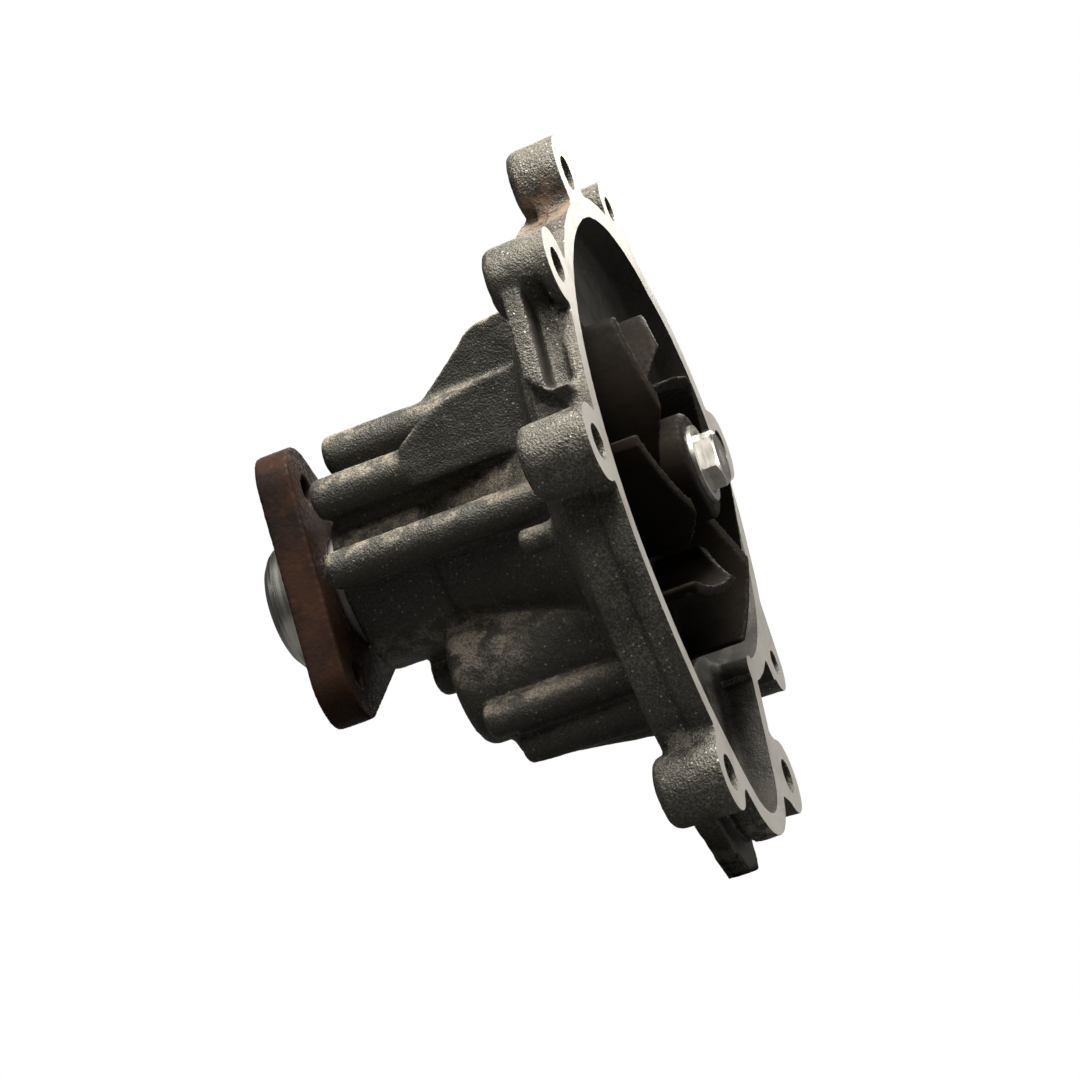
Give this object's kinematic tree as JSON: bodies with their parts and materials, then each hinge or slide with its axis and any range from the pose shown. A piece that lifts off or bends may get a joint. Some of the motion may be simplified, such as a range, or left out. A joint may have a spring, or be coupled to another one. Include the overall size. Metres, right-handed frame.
{
  "type": "water pump",
  "caption": "Engine coolant pump: lobed cast flange with open chamber, ribbed bearing tower, swept-blade impeller and a pulley hub plate with a turned pilot.",
  "frame": {"origin": "where the shaft axis crosses the sealing face", "axes": "+X along the shaft out of the sealing face towards the engine block, -X towards the pulley hub, +Z towards the top flange boss"},
  "size_m": [0.1179, 0.1722, 0.1863],
  "materials": {
    "cast_housing": "dark sandy cast aluminium, oil-stained, machined silver on the sealing face",
    "bearing_steel": "ground",
    "plated_steel": "satin, lightly marked",
    "turned_steel": "satin turned",
    "rusted_steel": "brown rust",
    "stained_iron": "matt, rust-stained",
    "black_rubber": "matt",
    "cage_plastic": "matt",
    "seal_brass": "satin",
    "carbon": "matt graphite",
    "ceramic": "polished ceramic"
  },
  "bodies": {
    "housing": {"pump_housing": "cast_housing", "bearing_outer_ring": "bearing_steel", "rear_bearing_seal": "black_rubber", "front_bearing_seal": "black_rubber", "reservoir_plug": "plated_steel", "seal_cup": "seal_brass", "seal_spring": "plated_steel", "seal_bellows": "black_rubber", "carbon_face": "carbon"},
    "rotor": {"bearing_shaft": "bearing_steel", "slinger_ring": "plated_steel", "hub_flange": "rusted_steel", "pilot_hub": "turned_steel", "impeller": "stained_iron", "impeller_washer": "plated_steel", "impeller_bolt": "plated_steel", "ceramic_seat": "ceramic", "seat_boot": "black_rubber"},
    "ball_train": {"ball_set": "bearing_steel", "ball_cage": "cage_plastic"},
    "roller_train": {"roller_set": "bearing_steel", "roller_cage": "cage_plastic"}
  },
  "joints": [
    {"name": "shaft_spin", "type": "hinge", "parent": "housing", "child": "rotor", "pos_m": [0, 0, 0], "axis": [1, 0, 0], "continuous": true},
    {"name": "ball_train_spin", "type": "hinge", "parent": "housing", "child": "ball_train", "pos_m": [-0.071, 0, 0], "axis": [1, 0, 0], "continuous": true},
    {"name": "roller_train_spin", "type": "hinge", "parent": "housing", "child": "roller_train", "pos_m": [-0.053, 0, 0], "axis": [1, 0, 0], "continuous": true}
  ],
  "couplings": [
    {"joint": "ball_train_spin", "follows": "shaft_spin", "ratio": 0.36},
    {"joint": "roller_train_spin", "follows": "shaft_spin", "ratio": 0.36}
  ]
}
